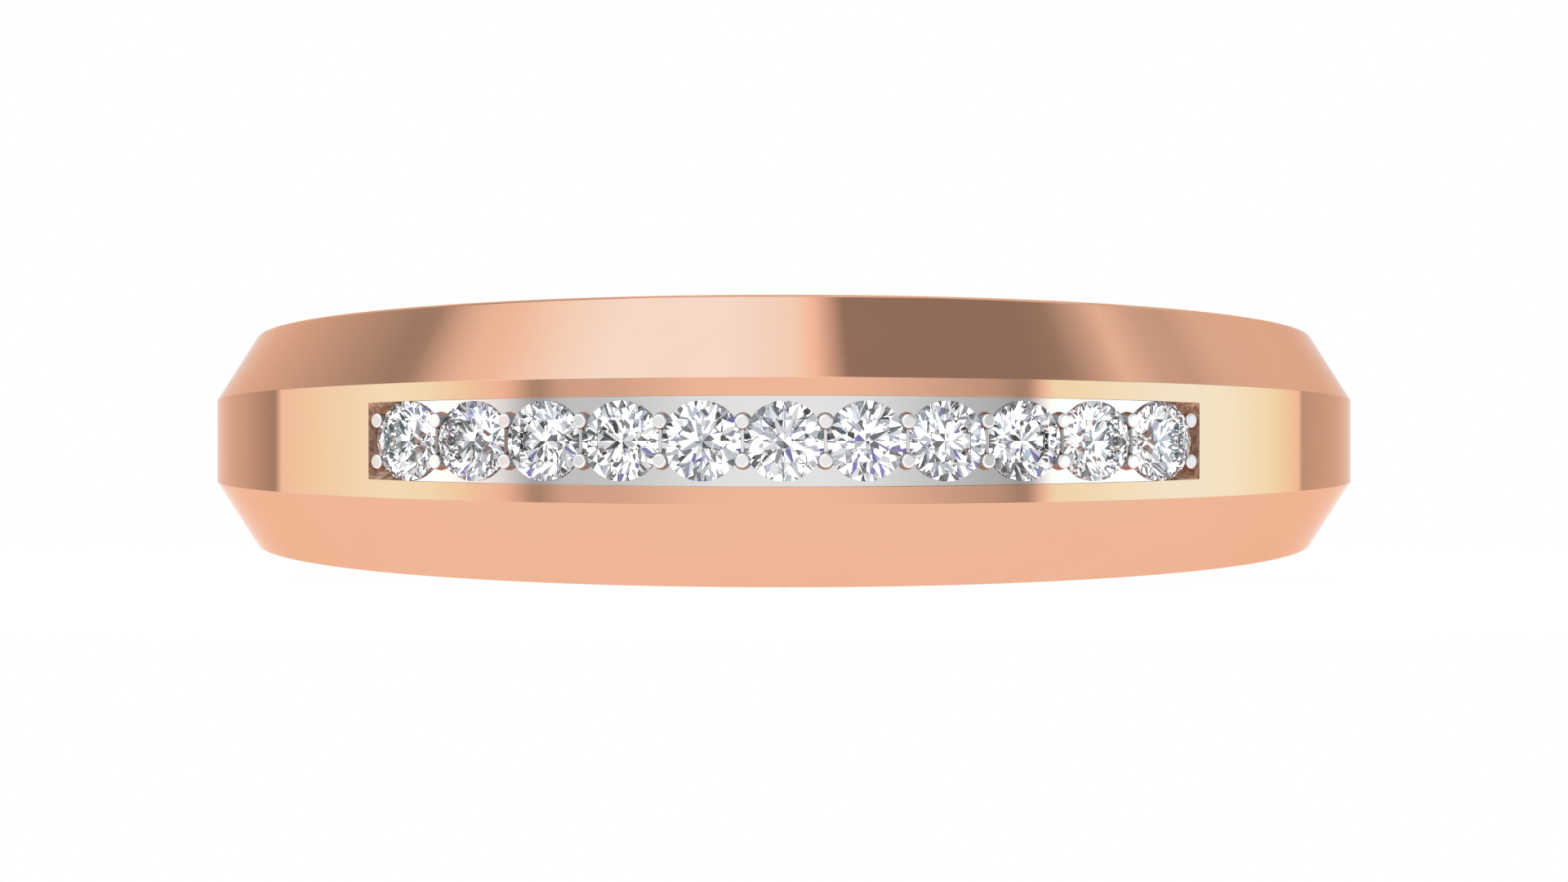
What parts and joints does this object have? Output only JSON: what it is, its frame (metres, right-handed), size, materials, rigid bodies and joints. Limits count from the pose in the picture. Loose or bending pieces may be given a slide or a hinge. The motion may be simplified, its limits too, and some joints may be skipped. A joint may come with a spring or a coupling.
{
  "type": "wedding band",
  "caption": "Rose gold wedding band, wide at the head and narrow at the back, with bevelled sides and a row of prong-set round brilliants in a white gold lined slot.",
  "frame": {"origin": "middle of the finger hole", "axes": "+Z along the finger hole, -Y towards the head with the stones, +X to the right of the head"},
  "size_m": [0.0227, 0.023, 0.0054],
  "materials": {
    "rose_gold": "polished",
    "white_gold": "polished",
    "diamond": "faceted, clear"
  },
  "bodies": {
    "root": {"band": "rose_gold", "setting_plate": "white_gold", "diamond_01": "diamond", "diamond_02": "diamond", "diamond_03": "diamond", "diamond_04": "diamond", "diamond_05": "diamond", "diamond_06": "diamond", "diamond_07": "diamond", "diamond_08": "diamond", "diamond_09": "diamond", "diamond_10": "diamond", "diamond_11": "diamond", "prong_01_upper": "white_gold", "prong_01_lower": "white_gold", "prong_02_upper": "white_gold", "prong_02_lower": "white_gold", "prong_03_upper": "white_gold", "prong_03_lower": "white_gold", "prong_04_upper": "white_gold", "prong_04_lower": "white_gold", "prong_05_upper": "white_gold", "prong_05_lower": "white_gold", "prong_06_upper": "white_gold", "prong_06_lower": "white_gold", "prong_07_upper": "white_gold", "prong_07_lower": "white_gold", "prong_08_upper": "white_gold", "prong_08_lower": "white_gold", "prong_09_upper": "white_gold", "prong_09_lower": "white_gold", "prong_10_upper": "white_gold", "prong_10_lower": "white_gold", "prong_11_upper": "white_gold", "prong_11_lower": "white_gold", "prong_12_upper": "white_gold", "prong_12_lower": "white_gold"}
  },
  "joints": []
}
